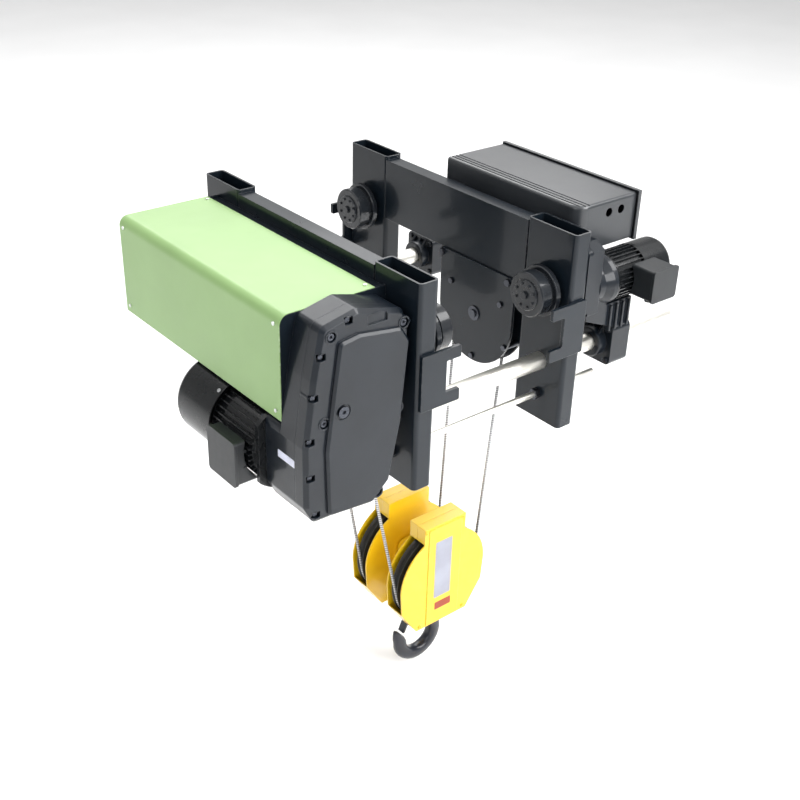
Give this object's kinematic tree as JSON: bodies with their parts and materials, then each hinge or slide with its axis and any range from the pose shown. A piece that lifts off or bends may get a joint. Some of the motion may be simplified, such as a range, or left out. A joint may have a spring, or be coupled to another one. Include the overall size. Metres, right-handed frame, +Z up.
{
  "type": "electric wire rope hoist",
  "caption": "Low-headroom electric rope hoist on an underslung girder trolley, with drum, gearbox, motors, control panel, rope falls and a hook block.",
  "frame": {"origin": "centre of the girder flange's running surface, midway between the four wheels", "axes": "+X across the girder towards the control panel, +Y along the girder away from the gearbox end, +Z up"},
  "size_m": [1.45, 1.064, 1.583],
  "materials": {
    "frame_paint": "gloss",
    "casting_paint": "satin",
    "motor_paint": "gloss",
    "rod_steel": "polished",
    "dark_steel": "oiled",
    "zinc": "zinc plated",
    "gear_steel": "machined",
    "wheel_steel": "painted satin, tread bare",
    "cover_green": "satin powder coat",
    "panel_grey": "satin",
    "block_yellow": "gloss",
    "sheave_paint": "satin",
    "hook_paint": "satin",
    "rope_wire": "galvanised strand",
    "box_plastic": "fine texture",
    "gear_plastic": "moulded",
    "drum_paint": "machined, oiled",
    "bearing_steel": "ground"
  },
  "bodies": {
    "trolley": {"left_frame": "frame_paint", "right_frame": "frame_paint", "catch_plates": "frame_paint", "guide_rods": "rod_steel", "tie_rods": "rod_steel", "frame_fasteners": "dark_steel", "clamp_blocks": "casting_paint", "panel_case": "panel_grey", "control_gear": "gear_plastic", "guard_plates": "frame_paint", "return_axle": "dark_steel", "drum_frame": "frame_paint", "drum_cover": "cover_green", "case_screws": "dark_steel", "gearbox_housing": "casting_paint", "gearbox_cover": "casting_paint", "hoist_motor_case": "motor_paint", "hoist_fan_cover": "motor_paint", "hoist_terminal_box": "box_plastic", "travel_gear_case": "casting_paint", "travel_motor_case": "motor_paint", "travel_fan_cover": "motor_paint", "travel_terminal_box": "box_plastic", "rope_anchor": "frame_paint", "rope_fixed_turns": "rope_wire", "wheel_axles": "dark_steel", "journal_bearings": "bearing_steel", "rope_fall_drum": "rope_wire", "rope_falls_return": "rope_wire", "rope_fall_anchor": "rope_wire"},
    "door": {"panel_door": "panel_grey"},
    "drum_body": {"drum": "drum_paint", "rope_coil": "rope_wire", "drum_gear": "gear_steel"},
    "guide_body": {"rope_guide": "casting_paint"},
    "gear_second_body": {"hoist_gear_second": "gear_steel"},
    "gear_first_body": {"hoist_gear_first": "gear_steel"},
    "rotor_body": {"hoist_rotor": "gear_steel", "brake_fan": "box_plastic"},
    "travel_gear_body": {"travel_gear_shaft": "gear_steel"},
    "travel_rotor_body": {"travel_rotor": "gear_steel"},
    "wheel_driven": {"wheel_right_near": "wheel_steel", "travel_output_gear": "gear_steel"},
    "wheel_b": {"wheel_right_far": "wheel_steel"},
    "wheel_c": {"wheel_left_near": "wheel_steel"},
    "wheel_d": {"wheel_left_far": "wheel_steel"},
    "return_body": {"return_sheave": "sheave_paint"},
    "block_body": {"block_straps": "block_yellow", "block_axle": "dark_steel", "sheave_bearings": "bearing_steel", "block_covers_outer": "block_yellow", "block_covers_inner": "block_yellow", "rope_wrap_block": "rope_wire"},
    "near_sheave_body": {"block_sheave_near": "sheave_paint"},
    "far_sheave_body": {"block_sheave_far": "sheave_paint"},
    "crosshead_body": {"crosshead": "dark_steel", "thrust_bearing": "bearing_steel"},
    "hook_body": {"hook": "hook_paint", "hook_nut": "hook_paint"},
    "latch_body": {"latch": "hook_paint"}
  },
  "joints": [
    {"name": "hook_lift", "type": "slide", "parent": "trolley", "child": "block_body", "axis": [0, 0, 1], "range_m": [-5.5, 0.45], "deforming": ["rope_fall_drum", "rope_falls_return", "rope_fall_anchor"]},
    {"name": "drum_spin", "type": "hinge", "parent": "trolley", "child": "drum_body", "pos_m": [-0.452, 0, 0.055], "axis": [0, 1, 0], "range_deg": [-982.7, 12005.3]},
    {"name": "guide_travel", "type": "slide", "parent": "trolley", "child": "guide_body", "axis": [0, 1, 0], "range_m": [-0.02915, 0.35064]},
    {"name": "gear_second_spin", "type": "hinge", "parent": "trolley", "child": "gear_second_body", "pos_m": [-0.4399, -0.4, -0.0665], "axis": [0, 1, 0], "range_deg": [-54484, 4458.2]},
    {"name": "gear_first_spin", "type": "hinge", "parent": "trolley", "child": "gear_first_body", "pos_m": [-0.4936, -0.4, -0.1387], "axis": [0, 1, 0], "range_deg": [-17831.5, 217934.3]},
    {"name": "rotor_spin", "type": "hinge", "parent": "trolley", "child": "rotor_body", "pos_m": [-0.545, -0.2, -0.2], "axis": [0, 1, 0], "range_deg": [-1035186.2, 84697.5]},
    {"name": "return_sheave_spin", "type": "hinge", "parent": "trolley", "child": "return_body", "pos_m": [0.255, -0.125, -0.113], "axis": [1, 0, 0], "range_deg": [-478, 5836.2]},
    {"name": "near_sheave_spin", "type": "hinge", "parent": "block_body", "child": "near_sheave_body", "pos_m": [0.028, -0.233, -0.893], "axis": [0, 1, 0], "range_deg": [-6022, 493.2]},
    {"name": "far_sheave_spin", "type": "hinge", "parent": "block_body", "child": "far_sheave_body", "pos_m": [0.028, -0.061, -0.893], "axis": [0, 1, 0], "range_deg": [-164.7, 2007.7]},
    {"name": "crosshead_tilt", "type": "hinge", "parent": "block_body", "child": "crosshead_body", "pos_m": [0.028, -0.147, -1.03], "axis": [0, 1, 0], "range_deg": [-12, 12]},
    {"name": "hook_swivel", "type": "hinge", "parent": "crosshead_body", "child": "hook_body", "pos_m": [0.028, -0.147, -1.03], "axis": [0, 0, 1], "continuous": true},
    {"name": "latch_hinge", "type": "hinge", "parent": "hook_body", "child": "latch_body", "pos_m": [-0.003, -0.147, -1.111], "axis": [0, 1, 0], "range_deg": [-35, 0], "stiffness_Nm_per_rad": 0.6},
    {"name": "travel_wheel", "type": "hinge", "parent": "trolley", "child": "wheel_driven", "pos_m": [0.19, -0.394, 0.0625], "axis": [1, 0, 0], "continuous": true},
    {"name": "wheel_b_spin", "type": "hinge", "parent": "trolley", "child": "wheel_b", "pos_m": [0.19, 0.394, 0.0625], "axis": [1, 0, 0], "continuous": true},
    {"name": "wheel_c_spin", "type": "hinge", "parent": "trolley", "child": "wheel_c", "pos_m": [-0.19, -0.394, 0.0625], "axis": [1, 0, 0], "continuous": true},
    {"name": "wheel_d_spin", "type": "hinge", "parent": "trolley", "child": "wheel_d", "pos_m": [-0.19, 0.394, 0.0625], "axis": [1, 0, 0], "continuous": true},
    {"name": "travel_gear_spin", "type": "hinge", "parent": "trolley", "child": "travel_gear_body", "pos_m": [0.32, -0.418, 0.104], "axis": [1, 0, 0], "continuous": true},
    {"name": "travel_rotor_spin", "type": "hinge", "parent": "trolley", "child": "travel_rotor_body", "pos_m": [0.4, -0.428, 0.06], "axis": [1, 0, 0], "continuous": true},
    {"name": "panel_door_hinge", "type": "hinge", "parent": "trolley", "child": "door", "pos_m": [0.552, 0.127, 0.21], "axis": [0, 0, 1], "range_deg": [0, 110]}
  ],
  "couplings": [
    {"joint": "drum_spin", "follows": "hook_lift", "rad_per_m": -38.095},
    {"joint": "guide_travel", "follows": "hook_lift", "ratio": -0.063662},
    {"joint": "gear_second_spin", "follows": "hook_lift", "rad_per_m": 172.89},
    {"joint": "gear_first_spin", "follows": "hook_lift", "rad_per_m": -691.58},
    {"joint": "rotor_spin", "follows": "hook_lift", "rad_per_m": 3285},
    {"joint": "return_sheave_spin", "follows": "hook_lift", "rad_per_m": -18.519},
    {"joint": "near_sheave_spin", "follows": "hook_lift", "rad_per_m": 19.108},
    {"joint": "far_sheave_spin", "follows": "hook_lift", "rad_per_m": -6.3694},
    {"joint": "wheel_b_spin", "follows": "travel_wheel", "ratio": 1},
    {"joint": "wheel_c_spin", "follows": "travel_wheel", "ratio": 1},
    {"joint": "wheel_d_spin", "follows": "travel_wheel", "ratio": 1},
    {"joint": "travel_gear_spin", "follows": "travel_wheel", "ratio": -3.3846},
    {"joint": "travel_rotor_spin", "follows": "travel_wheel", "ratio": 11.716}
  ]
}
